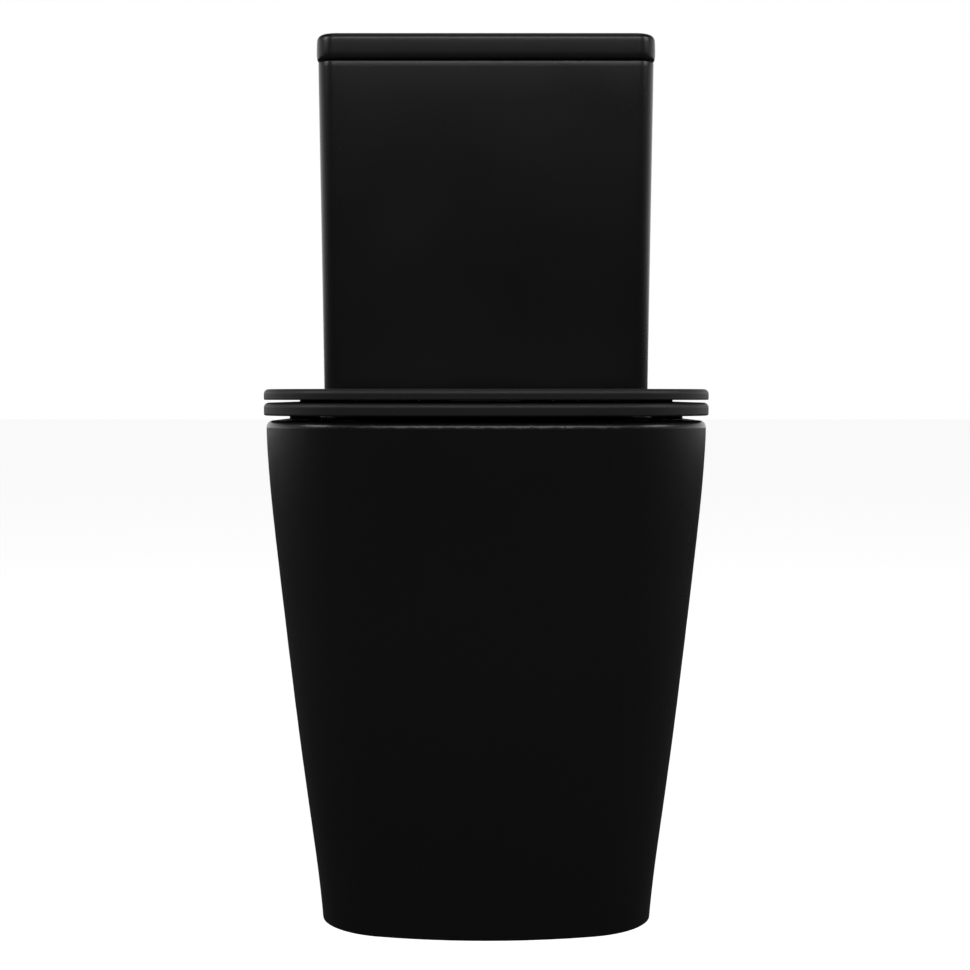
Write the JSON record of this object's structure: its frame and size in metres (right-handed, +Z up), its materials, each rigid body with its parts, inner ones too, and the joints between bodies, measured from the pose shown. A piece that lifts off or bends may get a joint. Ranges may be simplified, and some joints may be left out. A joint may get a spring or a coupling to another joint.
{
  "type": "close coupled toilet",
  "caption": "Matte black close coupled toilet with a fully skirted back-to-wall pan, slim soft-close seat and lid, and a slab cistern with a top dual flush button.",
  "frame": {"origin": "on the floor, under the middle of the whole object", "axes": "+Z up, +Y towards the wall, -Y the front of the bowl, +X to the right seen from the front"},
  "size_m": [0.36, 0.6299, 0.791],
  "materials": {
    "glaze": "matte black glaze",
    "seat_plastic": "matte black moulded",
    "rubber": "matte",
    "steel": "satin",
    "black_metal": "matte black",
    "white_plastic": "moulded",
    "grey_plastic": "moulded",
    "blue_plastic": "moulded",
    "fitting_plastic": "moulded"
  },
  "bodies": {
    "pan": {"bowl": "glaze", "tank": "glaze", "tank_gasket": "rubber", "tank_spacers": "rubber", "tank_bolt_seals": "rubber", "tank_bolts": "steel", "tank_bolt_rubbers": "rubber", "tank_bolt_washers": "steel", "tank_wing_nuts": "fitting_plastic", "flush_valve_seal": "rubber", "flush_valve_body": "white_plastic", "flush_valve_nut": "white_plastic", "valve_head": "white_plastic", "rocker_pins": "steel", "fill_valve_body": "white_plastic", "fill_valve_washer": "rubber", "fill_valve_nut": "white_plastic", "fill_valve_cap": "blue_plastic", "float_arm_pin": "steel", "hinge_posts": "black_metal", "hinge_pads": "rubber", "hinge_pins": "steel", "hinge_studs": "fitting_plastic", "hinge_washers": "rubber", "hinge_wing_nuts": "fitting_plastic", "floor_brackets": "fitting_plastic", "side_screws": "steel", "side_caps": "seat_plastic"},
    "seat": {"seat_ring": "seat_plastic", "seat_bumpers": "rubber", "seat_dampers": "fitting_plastic"},
    "lid": {"seat_lid": "seat_plastic", "lid_bumpers": "rubber", "lid_dampers": "fitting_plastic"},
    "cistern_cover": {"tank_lid": "glaze", "button_housing": "fitting_plastic", "button_bezel": "black_metal", "button_nut": "fitting_plastic", "full_button_spring": "steel", "half_button_spring": "steel"},
    "full_button": {"full_flush_button": "black_metal", "full_push_rod": "grey_plastic"},
    "half_button": {"half_flush_button": "black_metal", "half_push_rod": "grey_plastic"},
    "flush_tube": {"overflow_tube": "grey_plastic", "flush_seal": "rubber"},
    "half_float": {"half_flush_float": "white_plastic"},
    "full_rocker": {"full_rocker": "blue_plastic"},
    "half_rocker": {"half_rocker": "blue_plastic"},
    "float": {"float_cup": "fitting_plastic", "float_link": "grey_plastic"},
    "float_arm": {"float_arm": "blue_plastic"}
  },
  "joints": [
    {"name": "seat_hinge", "type": "hinge", "parent": "pan", "child": "seat", "pos_m": [0, 0.1, 0.4199], "axis": [-1, 0, 0], "range_deg": [0, 95]},
    {"name": "lid_hinge", "type": "hinge", "parent": "seat", "child": "lid", "pos_m": [0, 0.1, 0.4199], "axis": [1, 0, 0], "range_deg": [-95, 0]},
    {"name": "cover_lift", "type": "slide", "parent": "pan", "child": "cistern_cover", "axis": [0, 0, 1], "range_m": [0, 0.12]},
    {"name": "full_button_press", "type": "slide", "parent": "cistern_cover", "child": "full_button", "axis": [0, 0, -1], "range_m": [0, 0.006], "stiffness_N_per_m": 300, "springref_m": -0.004, "deforming": ["full_button_spring"]},
    {"name": "half_button_press", "type": "slide", "parent": "cistern_cover", "child": "half_button", "axis": [0, 0, -1], "range_m": [0, 0.006], "stiffness_N_per_m": 300, "springref_m": -0.004, "deforming": ["half_button_spring"]},
    {"name": "full_rocker_turn", "type": "hinge", "parent": "pan", "child": "full_rocker", "pos_m": [0.007, 0.214, 0.65], "axis": [0, 1, 0], "range_deg": [0, 22]},
    {"name": "half_rocker_turn", "type": "hinge", "parent": "pan", "child": "half_rocker", "pos_m": [-0.007, 0.25, 0.65], "axis": [0, -1, 0], "range_deg": [0, 22]},
    {"name": "flush_lift", "type": "slide", "parent": "pan", "child": "flush_tube", "axis": [0, 0, 1], "range_m": [0, 0.0045]},
    {"name": "half_float_lift", "type": "slide", "parent": "pan", "child": "half_float", "axis": [0, 0, 1], "range_m": [0, 0.0045]},
    {"name": "float_rise", "type": "slide", "parent": "pan", "child": "float", "axis": [0, 0, 1], "range_m": [0, 0.0157]},
    {"name": "float_arm_turn", "type": "hinge", "parent": "pan", "child": "float_arm", "pos_m": [-0.12, 0.238, 0.668], "axis": [0, -1, 0], "range_deg": [0, 20.6]}
  ],
  "couplings": [
    {"joint": "full_rocker_turn", "follows": "full_button_press", "rad_per_m": 60.8},
    {"joint": "flush_lift", "follows": "full_button_press", "ratio": 0.75},
    {"joint": "half_rocker_turn", "follows": "half_button_press", "rad_per_m": 60.8},
    {"joint": "half_float_lift", "follows": "half_button_press", "ratio": 0.75},
    {"joint": "float_arm_turn", "follows": "float_rise", "rad_per_m": 22.83}
  ]
}
